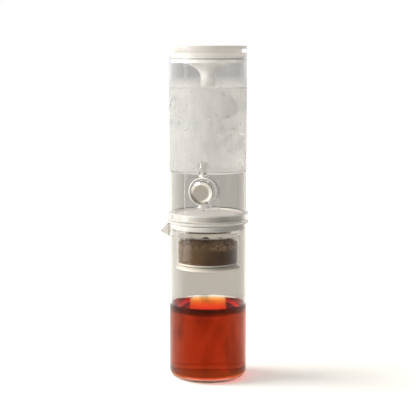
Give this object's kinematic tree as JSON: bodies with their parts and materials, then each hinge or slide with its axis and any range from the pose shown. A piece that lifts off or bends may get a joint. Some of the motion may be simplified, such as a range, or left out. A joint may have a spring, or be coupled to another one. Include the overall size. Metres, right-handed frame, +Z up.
{
  "type": "cold drip coffee tower",
  "caption": "Slim cold drip coffee maker: lidded clear tank with a drip valve, brew chamber with mesh filter, and a glass carafe with a spout.",
  "frame": {"origin": "centre of the carafe's base, on the surface that it stands on", "axes": "+Z up the tower's axis; the knob faces -Y and the spout points along -X"},
  "size_m": [0.105, 0.095, 0.391],
  "materials": {
    "carafe_glass": "polished",
    "brewed_coffee": "gloss",
    "clear_plastic": "gloss",
    "clear_silicone": "satin",
    "white_plastic": "satin",
    "steel_mesh": "satin",
    "coffee_grounds": "matte",
    "ice_water": "gloss",
    "knob_metal": "satin",
    "grey_plastic": "satin",
    "screw_steel": "satin",
    "black_rubber": "matte"
  },
  "bodies": {
    "carafe": {"carafe_glass": "carafe_glass", "brewed_coffee": "brewed_coffee"},
    "chamber": {"chamber_cup": "clear_plastic", "chamber_seat_ring": "clear_silicone", "collar_gasket": "clear_silicone"},
    "filter": {"filter_frame": "white_plastic", "filter_mesh": "steel_mesh", "filter_ring": "clear_silicone", "coffee_grounds": "coffee_grounds"},
    "spreader": {"spreader_plate": "white_plastic"},
    "tank": {"tank_shell": "clear_plastic", "ice_water": "ice_water", "inlet_seal": "clear_silicone", "inlet_nut": "white_plastic", "inlet_strainer": "steel_mesh", "valve_body": "clear_plastic", "drip_nozzle": "white_plastic", "gland_nut": "white_plastic"},
    "knob": {"valve_rotor": "grey_plastic", "rotor_ring_back": "black_rubber", "rotor_ring_front": "black_rubber", "knob_core": "grey_plastic", "knob_cap": "knob_metal", "knob_screw": "screw_steel"},
    "lid": {"lid_funnel": "white_plastic", "lid_ring": "clear_silicone"},
    "cap": {"lid_cap": "white_plastic", "cap_ring": "clear_silicone"}
  },
  "joints": [
    {"name": "chamber_lift", "type": "slide", "parent": "carafe", "child": "chamber", "axis": [0, 0, 1], "range_m": [0, 0.065]},
    {"name": "filter_release", "type": "slide", "parent": "chamber", "child": "filter", "axis": [0, 0, -1], "range_m": [0, 0.01]},
    {"name": "spreader_lift", "type": "slide", "parent": "chamber", "child": "spreader", "axis": [0, 0, 1], "range_m": [0, 0.006]},
    {"name": "tank_lift", "type": "slide", "parent": "chamber", "child": "tank", "axis": [0, 0, 1], "range_m": [0, 0.02]},
    {"name": "knob_turn", "type": "hinge", "parent": "tank", "child": "knob", "pos_m": [0, -0.036, 0.225], "axis": [0, -1, 0], "range_deg": [0, 270]},
    {"name": "lid_lift", "type": "slide", "parent": "tank", "child": "lid", "axis": [0, 0, 1], "range_m": [0, 0.045]},
    {"name": "cap_lift", "type": "slide", "parent": "lid", "child": "cap", "axis": [0, 0, 1], "range_m": [0, 0.015]}
  ]
}
